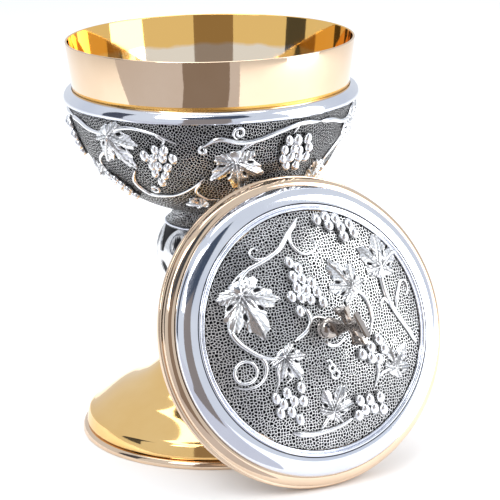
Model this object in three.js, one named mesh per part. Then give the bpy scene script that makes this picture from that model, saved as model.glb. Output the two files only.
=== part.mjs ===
// A ciborium: a footed, covered cup for altar breads, with its lid off and leaning against the bowl.
// Millimetres, +Z up. The origin is on the cup's axis, at the surface that the foot stands on.
// Every round piece is a turned profile, written as (radius, height) points that run up the outside
// and back down the inside.
import * as THREE from "three";

// Driving dimensions.
const clearance = 0.3; // between neighbouring pieces
const sheet = 1.2; // thickness of the spun and chased sheet
const rim = { radius: 70, height: 197, thickness: 1.1 };
const wallFoot = 156; // height where the cup's round bottom turns into its straight wall
const bowl = { centreRadius: 7.5, centreHeight: 175.5, curvature: 62.5 }; // outside of the chased jacket
const band = { foot: 168.3, top: 174, width: 4.1, edge: 0.9 }; // polished, around the top of the jacket
const neckFit = { foot: 107.2, footRadius: 23.9, topRadius: 19.3 };
const knop = { height: 91.5, radius: 29, halfHeight: 24.5, halfLength: 13.9 };
const knopRingRadius = 24.6;
const rod = { radius: 4, bottom: 51, top: 112.6 };
const foot = { wall: 1.5, bottom: 3.9, top: 65.4, shelf: 2.5 };
const basePlate = { radius: 68.5, thickness: 3.6 };
const lidRadius = 73;
const lidEdge = 0.6; // rounding of the lid's lower edge, which it stands on
const lean = THREE.MathUtils.degToRad(18.3); // of the lid, back from upright
const lidReach = 80.8; // along -Y, from the cup's axis to the centre of the leaning lid's seat
const lidOffset = 5; // sideways, along X
const dome = { radius: 55, edge: 14.3, apex: 25 }; // chased plate on the lid, above the lid's seat
const cross = { centre: 50, arm: 9.5, head: 11, foot: 15.8, waist: 4.2, flare: 12.5, thickness: 2.8 };
const crossTurn = THREE.MathUtils.degToRad(-68); // the arms' direction, turned about the lid's axis

const holeRadius = rod.radius + clearance;
const fine = 40; // facets around a large turned piece
const coarse = 24; // facets around a small one

const finishes = {
  gilt: { color: 0xd9a95a, roughness: 0.12, metalness: 1 },
  polished_silver: { color: 0xd4d6dc, roughness: 0.14, metalness: 1 },
  antique_silver: { color: 0x8f9094, roughness: 0.38, metalness: 1 },
  steel: { color: 0x9b9da0, roughness: 0.35, metalness: 1 },
};

function point(radius, height) {
  return new THREE.Vector2(radius, height);
}

// Points on an ellipse about (radius, height), between two angles in degrees from the outward direction.
function arc(radius, height, reachOut, reachUp, startDegrees, endDegrees, steps) {
  return Array.from({ length: steps + 1 }, (_, index) => {
    const angle = THREE.MathUtils.degToRad(startDegrees + ((endDegrees - startDegrees) * index) / steps);
    return point(radius + reachOut * Math.cos(angle), height + reachUp * Math.sin(angle));
  });
}

// The same curve moved to its left, which is inwards on a profile that runs up the outside.
function inside(curve, depth) {
  return curve.map((here, index) => {
    const before = curve[Math.max(index - 1, 0)];
    const after = curve[Math.min(index + 1, curve.length - 1)];
    const along = after.clone().sub(before).normalize();
    return point(here.x - along.y * depth, here.y + along.x * depth);
  });
}

function closed(profile) {
  return [...profile, profile[0].clone()];
}

function shell(curve, depth) {
  return closed([...curve, ...inside(curve, depth).reverse()]);
}

function turned(profile, facets) {
  return new THREE.LatheGeometry(profile, facets).rotateX(Math.PI / 2);
}

function disc(radius, low, high, hole, facets) {
  const edge = Math.min(0.5, (high - low) / 4);
  return turned(
    closed([
      point(hole, low),
      point(radius - edge, low),
      point(radius, low + edge),
      point(radius, high - edge),
      point(radius - edge, high),
      point(hole, high),
    ]),
    facets,
  );
}

function piece(name, geometry, finish) {
  const mesh = new THREE.Mesh(geometry, new THREE.MeshStandardMaterial(finishes[finish]));
  mesh.name = name;
  return mesh;
}

// The bowl's curve at a given distance outside (+) or inside (-) the jacket's face.
function bowlHeight(radius, offset) {
  return bowl.centreHeight - Math.sqrt((bowl.curvature + offset) ** 2 - (radius - bowl.centreRadius) ** 2);
}

function bowlRadius(height, offset) {
  return bowl.centreRadius + Math.sqrt((bowl.curvature + offset) ** 2 - (bowl.centreHeight - height) ** 2);
}

function bowlArc(fromRadius, toHeight, offset, steps) {
  const reach = bowl.curvature + offset;
  const start = -THREE.MathUtils.radToDeg(Math.acos((fromRadius - bowl.centreRadius) / reach));
  const end = -THREE.MathUtils.radToDeg(Math.asin((bowl.centreHeight - toHeight) / reach));
  return arc(bowl.centreRadius, bowl.centreHeight, reach, reach, start, end, steps);
}

const cupFace = -(sheet + clearance); // the cup's outside, measured from the jacket's face
const boss = { radius: 8, bottom: 108.5, holeTop: 112.9 };

function cupWallRadius(height) {
  const start = bowlRadius(wallFoot, cupFace);
  return start + ((rim.radius - start) * (height - wallFoot)) / (rim.height - wallFoot);
}

function cup() {
  const outside = bowlArc(boss.radius, wallFoot, cupFace, 8);
  const lining = bowlArc(boss.radius, wallFoot, cupFace - sheet, 8).reverse();
  const floor = bowlHeight(bowl.centreRadius, cupFace - sheet);
  const lip = rim.thickness / 2;
  const profile = [
    point(0, boss.holeTop),
    point(holeRadius, boss.holeTop),
    point(holeRadius, boss.bottom),
    point(boss.radius, boss.bottom),
    ...outside,
    point(rim.radius, rim.height - lip),
    point(rim.radius - 0.3 * lip, rim.height),
    point(rim.radius - 1.7 * lip, rim.height),
    point(rim.radius - rim.thickness, rim.height - lip),
    ...lining,
    point(0, floor),
  ];
  return piece("cup", turned(profile, fine), "gilt");
}

function bowlJacket() {
  const outside = bowlArc(boss.radius + clearance, band.foot - clearance, 0, 9);
  return piece("bowl_jacket", turned(shell(outside, sheet), fine), "antique_silver");
}

function bowlBand() {
  const innerTop = cupWallRadius(band.top) + clearance;
  const innerFoot = cupWallRadius(band.foot) + clearance;
  const crown = innerTop + 0.2;
  const profile = closed([
    point(innerFoot, band.foot),
    point(crown + band.width - 0.5, band.foot),
    ...arc(crown, band.foot + band.edge, band.width, band.top - band.foot - band.edge, 0, 90, 4),
    point(innerTop, band.top),
  ]);
  return piece("bowl_band", turned(profile, fine), "polished_silver");
}

function neck() {
  const topHeight = bowlHeight(neckFit.topRadius, clearance);
  const top = bowlArc(boss.radius + clearance, topHeight, clearance, 3).reverse();
  const flare = new THREE.SplineCurve([point(neckFit.footRadius, neckFit.foot), point(21.4, 109.6), top[0]]);
  const profile = closed([
    point(holeRadius, neckFit.foot),
    ...flare.getPoints(4),
    ...top.slice(1),
    point(boss.radius + clearance, boss.bottom - clearance),
    point(holeRadius, boss.bottom - clearance),
  ]);
  return piece("neck", turned(profile, coarse), "antique_silver");
}

function knopBody() {
  const slope = THREE.MathUtils.radToDeg(Math.asin(knop.halfLength / knop.halfHeight));
  const wall = 2.2;
  const outside = arc(0, knop.height, knop.radius, knop.halfHeight, -slope, slope, 8);
  const hollow = arc(0, knop.height, knop.radius - wall, knop.halfHeight - wall, slope - 6, 6 - slope, 6);
  const profile = closed([
    point(holeRadius, knop.height - knop.halfLength),
    ...outside,
    point(holeRadius, knop.height + knop.halfLength),
    point(holeRadius, hollow[0].y),
    ...hollow,
    point(holeRadius, hollow.at(-1).y),
  ]);
  return piece("knop", turned(profile, coarse), "antique_silver");
}

function knopRing(name, low, high) {
  const half = (high - low) / 2;
  const profile = closed([
    point(holeRadius, low),
    ...arc(knopRingRadius - half, low + half, half, half, -90, 90, 4),
    point(holeRadius, high),
  ]);
  return piece(name, turned(profile, coarse), "polished_silver");
}

const knopTop = knop.height + knop.halfLength;
const knopFoot = knop.height - knop.halfLength;
const lowerRingHeight = 1.3;
const lowerRingFoot = knopFoot - clearance - lowerRingHeight;

function stemCollar() {
  const low = foot.top + clearance;
  const high = lowerRingFoot - clearance;
  const flare = new THREE.SplineCurve([
    point(18, low + 1.4),
    point(15.2, low + 4),
    point(16.4, low + 7),
    point(20.5, high),
  ]);
  const profile = closed([
    point(holeRadius, low),
    point(17.6, low),
    ...flare.getPoints(6),
    point(holeRadius, high),
  ]);
  return piece("stem_collar", turned(profile, coarse), "gilt");
}

function footShell() {
  const trumpet = new THREE.SplineCurve([
    point(63.4, 11.6),
    point(52, 19.8),
    point(41, 25),
    point(34, 29.4),
    point(27.5, 36),
    point(19.6, 48),
    point(16, foot.top - 1),
  ]).getPoints(10);
  const skirt = [point(65.5, foot.bottom), point(66.4, 5), point(65.1, 10), point(64.6, 10.9)];
  const lining = inside([...skirt.slice(1), ...trumpet.slice(0, -1)], foot.wall).reverse();
  const profile = closed([
    ...skirt,
    ...trumpet,
    point(15.4, foot.top),
    point(holeRadius, foot.top),
    point(holeRadius, foot.top - foot.shelf),
    point(14, foot.top - foot.shelf),
    ...lining,
    point(64.2, foot.bottom),
  ]);
  return piece("foot", turned(profile, fine), "gilt");
}

function footBasePlate() {
  const spigot = { inner: 60.5, outer: 63, top: 7.5 };
  const profile = [
    point(0, 0),
    point(basePlate.radius - 0.6, 0),
    point(basePlate.radius, 0.6),
    point(basePlate.radius - 0.3, 2.4),
    point(basePlate.radius - 1.4, basePlate.thickness),
    point(spigot.outer, basePlate.thickness),
    point(spigot.outer - 0.4, spigot.top),
    point(spigot.inner, spigot.top),
    point(spigot.inner, basePlate.thickness - 1),
    point(0, basePlate.thickness - 1),
  ];
  return piece("foot_base_plate", turned(profile, fine), "gilt");
}

// A hexagonal nut, with a plain hole in place of its thread.
function nut(name, acrossFlats, hole, low, high) {
  const corner = acrossFlats / Math.sqrt(3);
  const corners = Array.from({ length: 6 }, (_, index) => {
    const angle = (index * Math.PI) / 3;
    return point(corner * Math.cos(angle), corner * Math.sin(angle));
  });
  const outline = new THREE.Shape(corners);
  outline.holes.push(new THREE.Path().absarc(0, 0, hole, 0, 2 * Math.PI, true));
  const geometry = new THREE.ExtrudeGeometry(outline, {
    depth: high - low,
    bevelEnabled: false,
    curveSegments: 12,
  });
  return piece(name, geometry.translate(0, 0, low), "steel");
}

function tieRod() {
  return piece("tie_rod", disc(rod.radius, rod.bottom, rod.top, 0, coarse), "steel");
}

function vesselPieces() {
  const washer = { radius: 10, thickness: 1.6 };
  const nutSize = { acrossFlats: 13, height: 6.5 };
  const washerTop = foot.top - foot.shelf - clearance;
  const washerFoot = washerTop - washer.thickness;
  const nutTop = washerFoot - clearance;
  return [
    cup(),
    bowlJacket(),
    bowlBand(),
    neck(),
    knopRing("knop_upper_ring", knopTop + clearance, neckFit.foot - clearance),
    knopBody(),
    knopRing("knop_lower_ring", lowerRingFoot, knopFoot - clearance),
    stemCollar(),
    footShell(),
    footBasePlate(),
    tieRod(),
    piece("foot_washer", disc(washer.radius, washerFoot, washerTop, holeRadius, coarse), "steel"),
    nut("tie_nut", nutSize.acrossFlats, holeRadius, nutTop - nutSize.height, nutTop),
  ];
}

// The lid's own heights are measured from the face that sits on the cup's rim.
const seat = { outer: 70.6, locator: 68.3, depth: 6 }; // the liner's flange and the ring that enters the cup
const stud = { radius: 2, bottom: 13.4, top: 31 };
const studHole = stud.radius + clearance;
const liner = { domeFoot: 1.6, domeRise: 9.6, flange: 1 };
const groove = { radius: 71.3, low: 3.4, high: 4.2 }; // between the skirt's edge and its rounded upper part
const shoulder = { radius: 67.6, height: 8.4 }; // where the gilt skirt ends and the silver ring begins
const ringTop = { radius: 58.8, height: 14.3 };

function lidSkirt() {
  const edgeTop = groove.low - 0.4;
  const outside = [
    point(lidRadius - lidEdge, 0),
    point(lidRadius, lidEdge),
    point(lidRadius, edgeTop - lidEdge),
    point(lidRadius - lidEdge, edgeTop),
    point(groove.radius, groove.low),
    point(groove.radius, groove.high),
    ...arc(shoulder.radius - 0.2, 4.6, 4.4, shoulder.height - 4.8, 0, 75, 3),
    point(shoulder.radius, shoulder.height - 0.2),
  ];
  const innerRadius = seat.outer + clearance;
  const profile = closed([
    point(innerRadius, 0),
    ...outside,
    point(shoulder.radius - 1.4, shoulder.height - 0.2),
    point(shoulder.radius - 1.4, shoulder.height - 1.6),
    point(groove.radius - 1.5, 4.6),
    point(groove.radius - 1.5, edgeTop),
    point(innerRadius, 2.4),
  ]);
  return piece("lid_skirt", turned(profile, fine), "gilt");
}

// The gilt inner cover: a flange that rests on the rim, a ring that enters the cup, and a shallow dome.
function lidLiner() {
  const seatFace = clearance;
  const flangeTop = seatFace + liner.flange;
  const locatorInner = seat.locator - sheet;
  const outerRise = liner.domeRise + sheet;
  const profile = [
    point(0, liner.domeFoot + liner.domeRise),
    ...arc(0, liner.domeFoot, locatorInner, liner.domeRise, 0, 84, 6).reverse(),
    point(locatorInner, -seat.depth),
    point(seat.locator - 0.3, -seat.depth),
    point(seat.locator, -seat.depth + 0.6),
    point(seat.locator, seatFace),
    point(seat.outer, seatFace),
    point(seat.outer, flangeTop),
    point(seat.locator, flangeTop),
    ...arc(0, liner.domeFoot, seat.locator - 0.1, outerRise, 2, 84, 6),
    point(0, liner.domeFoot + outerRise),
  ];
  return piece("lid_liner", turned(profile, fine), "gilt");
}

function lidSilverRing() {
  const reachOut = shoulder.radius - ringTop.radius - 0.1;
  const reachUp = ringTop.height - shoulder.height;
  const outside = arc(ringTop.radius, shoulder.height + clearance, reachOut, reachUp, 0, 90, 5);
  return piece("lid_silver_ring", turned(shell(outside, sheet), fine), "polished_silver");
}

function lidBeadRing() {
  const low = 12.9;
  const profile = closed([
    point(55.3, low),
    point(ringTop.radius - clearance, low),
    point(ringTop.radius - clearance, 14),
    ...arc(57.6, 14.2, 0.85, 1, 0, 160, 4),
    ...arc(56, 14.2, 0.65, 0.75, 20, 180, 4),
  ]);
  return piece("lid_bead_ring", turned(profile, fine), "polished_silver");
}

function domeHeight(radius) {
  const rise = dome.apex - dome.edge;
  const curvature = (dome.radius ** 2 + rise ** 2) / (2 * rise);
  return dome.apex - curvature + Math.sqrt(curvature ** 2 - radius ** 2);
}

function lidDome() {
  const steps = 8;
  const outside = Array.from({ length: steps + 1 }, (_, index) => {
    const radius = dome.radius + ((studHole - dome.radius) * index) / steps;
    return point(radius, domeHeight(radius));
  });
  return piece("lid_dome", turned(shell(outside, sheet), fine), "antique_silver");
}

function crossKnob() {
  const low = domeHeight(0) + clearance;
  const height = 8.6;
  const profile = [
    point(0, stud.top + clearance),
    point(studHole, stud.top + clearance),
    point(studHole, low),
    point(4.4, low),
    point(4.4, low + 1),
    ...arc(0, low + 4.6, 5.3, 3.6, -45, 60, 6),
    point(2.4, low + height),
    point(0, low + height),
  ];
  return piece("cross_knob", turned(profile, coarse), "polished_silver");
}

// A cross whose four arms widen from the waist to straight ends, in the X-Z plane about its own centre.
function crossBody() {
  const waist = cross.waist / 2;
  const arms = [
    { length: cross.head, halfEnd: cross.flare / 2 },
    { length: cross.arm, halfEnd: cross.flare / 2 },
    { length: cross.foot, halfEnd: cross.flare / 2 - 1.5 },
    { length: cross.arm, halfEnd: cross.flare / 2 },
  ];
  const outline = new THREE.Shape();
  arms.forEach(({ length, halfEnd }, quarter) => {
    const turn = -(quarter * Math.PI) / 2;
    const at = (across, along) => point(across, along).rotateAround(point(0, 0), turn);
    const start = at(-waist, waist);
    if (quarter === 0) {
      outline.moveTo(start.x, start.y);
    }
    const bendIn = at(-waist, length * 0.55);
    const left = at(-halfEnd, length);
    const right = at(halfEnd, length);
    const bendOut = at(waist, length * 0.55);
    const end = at(waist, waist);
    outline.quadraticCurveTo(bendIn.x, bendIn.y, left.x, left.y);
    outline.lineTo(right.x, right.y);
    outline.quadraticCurveTo(bendOut.x, bendOut.y, end.x, end.y);
  });
  const bevel = 0.6;
  const geometry = new THREE.ExtrudeGeometry(outline, {
    depth: cross.thickness - 2 * bevel,
    bevelThickness: bevel,
    bevelSize: bevel,
    bevelOffset: -bevel,
    bevelSegments: 1,
    curveSegments: 5,
  });
  geometry.translate(0, 0, bevel - cross.thickness / 2).rotateX(Math.PI / 2);
  geometry.rotateZ(crossTurn).translate(0, 0, cross.centre);
  return piece("cross", geometry, "polished_silver");
}

function lidPieces() {
  const washer = { radius: 5, thickness: 1.2 };
  const nutSize = { acrossFlats: 7, height: 3.2 };
  const washerTop = domeHeight(0) - sheet - clearance;
  const washerFoot = washerTop - washer.thickness;
  const nutTop = washerFoot - clearance;
  return [
    lidSkirt(),
    lidLiner(),
    lidSilverRing(),
    lidBeadRing(),
    lidDome(),
    crossKnob(),
    crossBody(),
    piece("cross_stud", disc(stud.radius, stud.bottom, stud.top, 0, coarse), "steel"),
    piece("cross_washer", disc(washer.radius, washerFoot, washerTop, studHole, coarse), "steel"),
    nut("cross_nut", nutSize.acrossFlats, studHole, nutTop - nutSize.height, nutTop),
  ];
}

const vessel = new THREE.Group();
vessel.add(...vesselPieces());

// The lid stands on the edge of its skirt, tipped back towards the bowl, with its top facing -Y.
const seatHeight = lidRadius * Math.cos(lean) - lidEdge * Math.sin(lean);
const lid = new THREE.Group();
lid.add(...lidPieces());
lid.rotation.x = Math.PI / 2 - lean;
lid.position.set(lidOffset, -lidReach, seatHeight);

const group = new THREE.Group();
group.add(vessel, lid);

export default group;
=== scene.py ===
"""The looks of the ciborium: turned metal pieces, chased vine relief, finishes, light and camera.

Shapes are worked out in millimetres in the shared frame and become metres when a mesh is made.
"""
from math import acos, asin, atan2, cos, degrees, hypot, pi, radians, sin, sqrt

import bmesh
import bpy
import numpy as np
from mathutils import Matrix, Vector


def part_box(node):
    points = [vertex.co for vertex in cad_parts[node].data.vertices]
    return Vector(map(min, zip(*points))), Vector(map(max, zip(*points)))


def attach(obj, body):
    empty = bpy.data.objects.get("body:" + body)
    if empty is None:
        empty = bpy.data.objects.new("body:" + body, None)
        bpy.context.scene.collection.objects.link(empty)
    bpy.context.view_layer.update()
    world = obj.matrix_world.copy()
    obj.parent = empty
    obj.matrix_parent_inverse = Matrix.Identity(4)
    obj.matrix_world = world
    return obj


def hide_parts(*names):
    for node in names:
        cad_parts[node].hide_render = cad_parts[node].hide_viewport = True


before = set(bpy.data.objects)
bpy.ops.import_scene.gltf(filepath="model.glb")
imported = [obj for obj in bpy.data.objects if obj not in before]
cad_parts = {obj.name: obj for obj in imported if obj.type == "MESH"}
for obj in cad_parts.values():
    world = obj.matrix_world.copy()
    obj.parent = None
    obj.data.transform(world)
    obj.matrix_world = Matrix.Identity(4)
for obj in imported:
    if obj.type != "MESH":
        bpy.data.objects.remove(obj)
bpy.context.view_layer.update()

MM = 0.001
AROUND = 256  # facets around a large turned piece
AROUND_SMALL = 128
ON_AXIS = 1e-6  # a smaller radius than this is taken as zero

# ---------------------------------------------------------------- sizes shared with the CAD model
CLEARANCE = 0.3
SHEET = 1.2
RIM_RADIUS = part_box("cup")[1][0] / MM
RIM_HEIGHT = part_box("cup")[1][2] / MM
RIM_THICKNESS = 1.1
PAINTED_LINE_WIDTH = 1.5  # the painted orange reflection line above the band
BOWL_CENTRE_RADIUS = 7.5
BOWL_CENTRE_HEIGHT = 175.5
BOWL_CURVATURE = 62.5
CUP_FACE = -(SHEET + CLEARANCE)  # the cup's outside, measured from the jacket's
CUP_HUB = 8
CUP_SEAT = 108.5
WALL_FOOT = 156
JACKET_HOLE = 8.3
BAND_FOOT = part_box("bowl_band")[0][2] / MM
BAND_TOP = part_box("bowl_band")[1][2] / MM
KNOP_HEIGHT = 91.5
KNOP_RADIUS = 29
KNOP_HALF_HEIGHT = 24.5
KNOP_HALF_LENGTH = 13.9
HOLE_RADIUS = 4.3
NECK_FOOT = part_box("neck")[0][2] / MM
FOOT_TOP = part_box("foot")[1][2] / MM
DOME_RADIUS = 55
DOME_EDGE = 14.3
DOME_APEX = 25
DOME_RISE = DOME_APEX - DOME_EDGE
DOME_CURVATURE = (DOME_RADIUS**2 + DOME_RISE**2) / (2 * DOME_RISE)
LEAN = radians(18.3)
LID_RADIUS = 73
LID_EDGE = 0.6
LID_REACH = 80.8
LID_OFFSET = (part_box("lid_skirt")[0][0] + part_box("lid_skirt")[1][0]) / 2 / MM
LID_HEIGHT = LID_RADIUS * cos(LEAN) - LID_EDGE * sin(LEAN)
LID_PLACE = Matrix.Translation((LID_OFFSET, -LID_REACH, LID_HEIGHT)) @ Matrix.Rotation(pi / 2 - LEAN, 4, "X")
CROSS_CENTRE = 50
CROSS_TURN = radians(-68)
WIRE_LIFT = 0.15  # how far the centre of a stem stands off its face
GRAPE_RADIUS = 2.4
LEAF_SINK = -0.35


# ---------------------------------------------------------------- meshes
def add_piece(name, points, faces, body, replaced, material, place=None, sharp=35.0, shade=None):
    """Makes a smooth mesh from points in millimetres, puts it on its body, and hides the CAD node it takes
    the place of.
    """
    mesh = bpy.data.meshes.new(name)
    if place is not None:
        points = [place @ Vector(point) for point in points]
    mesh.from_pydata([tuple(c * MM for c in point) for point in points], [], faces)
    mesh.validate()
    if shade is not None:
        attribute = mesh.attributes.new("shade", "FLOAT", "POINT")
        attribute.data.foreach_set("value", np.asarray(shade, dtype=np.float32))
    mesh.materials.append(material)
    mesh.update()
    mesh.shade_smooth()
    mesh.set_sharp_from_angle(angle=radians(sharp))
    piece = bpy.data.objects.new(name, mesh)
    bpy.context.collection.objects.link(piece)
    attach(piece, body)
    if replaced:
        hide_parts(replaced)
    return piece


def revolve(profile, facets):
    """The points and faces of a closed profile turned about Z. A point on the axis becomes one vertex."""
    points, rows = [], []
    for radius, height in profile:
        if radius < ON_AXIS:
            rows.append([len(points)] * facets)
            points.append((0, 0, height))
        else:
            rows.append(list(range(len(points), len(points) + facets)))
            angles = np.arange(facets) * 2 * pi / facets
            points += [(radius * cos(a), radius * sin(a), height) for a in angles]
    faces = []
    closes_on_axis = profile[0][0] < ON_AXIS
    for low, high in zip(rows, rows[1:] if closes_on_axis else rows[1:] + rows[:1]):
        for i in range(facets):
            j = (i + 1) % facets
            corners = [low[i], low[j], high[j], high[i]]
            face = [c for k, c in enumerate(corners) if c != corners[k - 1]]
            if len(face) > 2:
                faces.append(face)
    return points, faces


def turn_piece(name, profile, body, material, place=None, facets=AROUND):
    """A turned piece that takes the place of the CAD node of the same name."""
    points, faces = revolve(profile, facets)
    return add_piece(name + "_surface", points, faces, body, name, material, place)


def arc(radius, height, reach_out, reach_up, start, end, steps):
    """Profile points on an ellipse about (radius, height), from one angle in degrees to another."""
    angles = [radians(start + (end - start) * i / steps) for i in range(steps + 1)]
    return [(radius + reach_out * cos(a), height + reach_up * sin(a)) for a in angles]


def spline(points, steps):
    """A Catmull-Rom curve through the points, in any number of dimensions."""
    knots = np.array(points, dtype=float)
    knots = np.vstack([2 * knots[0] - knots[1], knots, 2 * knots[-1] - knots[-2]])
    curve = []
    for i in range(1, len(knots) - 2):
        a, b, c, d = knots[i - 1 : i + 3]
        for t in np.arange(steps) / steps:
            bend = (2 * a - 5 * b + 4 * c - d) * t**2
            twist = (3 * b - a - 3 * c + d) * t**3
            curve.append(0.5 * (2 * b + (c - a) * t + bend + twist))
    curve.append(knots[-2])
    return [tuple(point) for point in curve]


def inside(curve, depth):
    """The curve moved sideways by a depth."""
    moved = []
    for i, (radius, height) in enumerate(curve):
        before, after = curve[max(i - 1, 0)], curve[min(i + 1, len(curve) - 1)]
        across, up = after[0] - before[0], after[1] - before[1]
        length = hypot(across, up)
        moved.append((radius - up / length * depth, height + across / length * depth))
    return moved


def shell(curve, depth):
    """The closed profile of a sheet whose outside follows the curve."""
    return curve + inside(curve, depth)[::-1]


def bowl_height(radius, offset=0.0):
    return BOWL_CENTRE_HEIGHT - sqrt((BOWL_CURVATURE + offset) ** 2 - (radius - BOWL_CENTRE_RADIUS) ** 2)


def bowl_radius(height, offset=0.0):
    return BOWL_CENTRE_RADIUS + sqrt((BOWL_CURVATURE + offset) ** 2 - (BOWL_CENTRE_HEIGHT - height) ** 2)


def bowl_arc(from_radius, to_height, offset, steps):
    """Profile points along the bowl's curve, or along one that lies an offset outside it."""
    reach = BOWL_CURVATURE + offset
    start = -degrees(acos((from_radius - BOWL_CENTRE_RADIUS) / reach))
    end = -degrees(asin((BOWL_CENTRE_HEIGHT - to_height) / reach))
    return arc(BOWL_CENTRE_RADIUS, BOWL_CENTRE_HEIGHT, reach, reach, start, end, steps)


def cup_wall_radius(height):
    start = bowl_radius(WALL_FOOT, CUP_FACE)
    return start + (RIM_RADIUS - start) * (height - WALL_FOOT) / (RIM_HEIGHT - WALL_FOOT)


def bowl_slope(height, up=0.0):
    """The angle below level from the bowl's centre of curvature to a place, after a step up the face."""
    return asin((BOWL_CENTRE_HEIGHT - height) / BOWL_CURVATURE) - up / BOWL_CURVATURE


def dome_height(radius):
    return DOME_APEX - DOME_CURVATURE + sqrt(DOME_CURVATURE**2 - radius**2)


# ---------------------------------------------------------------- materials
class Nodes:
    """A small helper that builds one Principled material node by node."""

    def __init__(self, name):
        self.material = bpy.data.materials.new(name)
        self.material.use_nodes = True
        self.tree = self.material.node_tree
        self.shader = self.tree.nodes["Principled BSDF"]

    def add(self, kind, inputs=(), **settings):
        node = self.tree.nodes.new("ShaderNode" + kind)
        for key, value in settings.items():
            setattr(node, key, value)
        for socket, value in dict(inputs).items():
            self.feed(node.inputs[socket], value)
        return node

    def feed(self, socket, value):
        if isinstance(value, bpy.types.NodeSocket):
            self.tree.links.new(value, socket)
        else:
            socket.default_value = value

    def where(self):
        return self.add("TexCoord").outputs["Object"]

    def noise(self, scale, detail=4.0, vector=None):
        inputs = {"Vector": vector or self.where(), "Scale": scale, "Detail": detail}
        return self.add("TexNoise", inputs).outputs["Fac"]

    def ramp(self, value, low, high, start=0.0, end=1.0):
        inputs = {"Value": value, "From Min": low, "From Max": high, "To Min": start, "To Max": end}
        return self.add("MapRange", inputs).outputs["Result"]

    def mix(self, factor, first, second):
        node = self.add("Mix", data_type="RGBA")
        for socket, value in ((0, factor), (6, first), (7, second)):
            self.feed(node.inputs[socket], value)
        return node.outputs[2]

    def math(self, operation, first, second=0.0):
        return self.add("Math", {0: first, 1: second}, operation=operation).outputs[0]

    def bump(self, height, distance, strength=1.0, normal=None):
        inputs = {"Height": height, "Distance": distance, "Strength": strength}
        if normal:
            inputs["Normal"] = normal
        return self.add("Bump", inputs).outputs["Normal"]

    def metal(self, colour, roughness, normal=None):
        self.feed(self.shader.inputs["Metallic"], 1.0)
        self.feed(self.shader.inputs["Base Color"], colour)
        self.feed(self.shader.inputs["Roughness"], roughness)
        if normal:
            self.feed(self.shader.inputs["Normal"], normal)
        return self.material


def polished(name, bright, deep, smooth, rough):
    """A mirror-polished plated metal: faint cloudiness, hairlines from the polishing mop, soft waviness."""
    nodes = Nodes(name)
    cloud = nodes.noise(28.0)
    hairs = nodes.noise(900.0, 2.0)
    colour = nodes.mix(nodes.ramp(cloud, 0.35, 0.7), bright, deep)
    smear = nodes.math("ADD", nodes.math("MULTIPLY", cloud, 0.6), nodes.math("MULTIPLY", hairs, 0.4))
    roughness = nodes.ramp(smear, 0.35, 0.65, smooth, rough)
    waves = nodes.bump(nodes.noise(45.0, 1.0), 0.0006, 0.12)
    normal = nodes.bump(hairs, 0.00002, 0.15, waves)
    return nodes.metal(colour, roughness, normal)


def gilt_with_painted_reflection():
    """The cup's lining: pale in the hollow, with a painted reflection of deep orange gold towards the lip."""
    pale, orange = (0.93, 0.80, 0.63, 1), (0.95, 0.58, 0.18, 1)
    low, high = 0.1805, 0.1825  # the heights in metres between which one turns into the other
    nodes = Nodes("lining_painted_reflection")
    height = nodes.add("SeparateXYZ", {0: nodes.where()}).outputs["Z"]
    wander = nodes.math("MULTIPLY", nodes.math("SUBTRACT", nodes.noise(60.0), 0.5), 0.006)
    colour = nodes.mix(nodes.ramp(nodes.math("ADD", height, wander), low, high), pale, orange)
    cloud = nodes.noise(28.0)
    return nodes.metal(colour, nodes.ramp(cloud, 0.35, 0.65, 0.03, 0.06), nodes.bump(cloud, 0.0004, 0.12))


def lid_plane(nodes):
    """The place on the lid's face, turned so that its axis is Z."""
    inputs = {"Vector": nodes.where(), "Angle": LEAN - pi / 2}
    return nodes.add("VectorRotate", inputs, rotation_type="X_AXIS").outputs[0]


def bowl_plane(nodes):
    """The bowl's face rolled out flat from its foot, so that pits keep much the same size all the way up."""
    centre = (0, 0, BOWL_CENTRE_HEIGHT * MM)
    from_centre = nodes.add("VectorMath", {0: nodes.where(), 1: centre}, operation="SUBTRACT").outputs[0]
    way = nodes.add("VectorMath", {0: from_centre}, operation="NORMALIZE").outputs[0]
    down = nodes.math("SUBTRACT", 1.0, nodes.add("SeparateXYZ", {0: way}).outputs["Z"])
    spread = nodes.math("POWER", nodes.math("DIVIDE", 2.0, down), 0.8)
    reach = nodes.math("MULTIPLY", spread, (BOWL_CENTRE_RADIUS + BOWL_CURVATURE) * MM)
    return nodes.add("VectorMath", {0: way, "Scale": reach}, operation="SCALE").outputs[0]


def matted(name, pitch, unroll=None, net_edges=(0.08, 0.18)):
    """A ground of small punched pits: dark hollows, with a bright net of metal left between them.

    net_edges are the distances from a pit's border, in pitches, over which the net fades into the pit.
    """
    dark, bright = (0.006, 0.006, 0.007, 1), (0.95, 0.95, 0.95, 1)
    nodes = Nodes(name)
    face = unroll(nodes) if unroll else nodes.where()
    wobble = nodes.add("TexNoise", {"Vector": face, "Scale": 260.0, "Detail": 1.0}).outputs["Color"]
    centred = nodes.add("VectorMath", {0: wobble, 1: (0.5, 0.5, 0.5)}, operation="SUBTRACT").outputs[0]
    shift = nodes.add("VectorMath", {0: centred, "Scale": 0.0006}, operation="SCALE").outputs[0]
    place = nodes.add("VectorMath", {0: face, 1: shift}, operation="ADD").outputs[0]
    cells = nodes.add(
        "TexVoronoi", {"Vector": place, "Scale": 1.0 / pitch, "Randomness": 0.75},
        feature="DISTANCE_TO_EDGE", voronoi_dimensions="2D" if unroll else "3D",
    )
    net = nodes.ramp(cells.outputs["Distance"], *net_edges, 1.0, 0.0)
    worn = nodes.ramp(nodes.noise(55.0), 0.3, 0.7, 0.7, 1.0)
    colour = nodes.mix(nodes.math("MULTIPLY", net, worn), dark, bright)
    roughness = nodes.ramp(net, 0.0, 1.0, 0.6, 0.25)
    normal = nodes.bump(net, 0.0004, 1.0)
    return nodes.metal(colour, roughness, normal)


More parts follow.
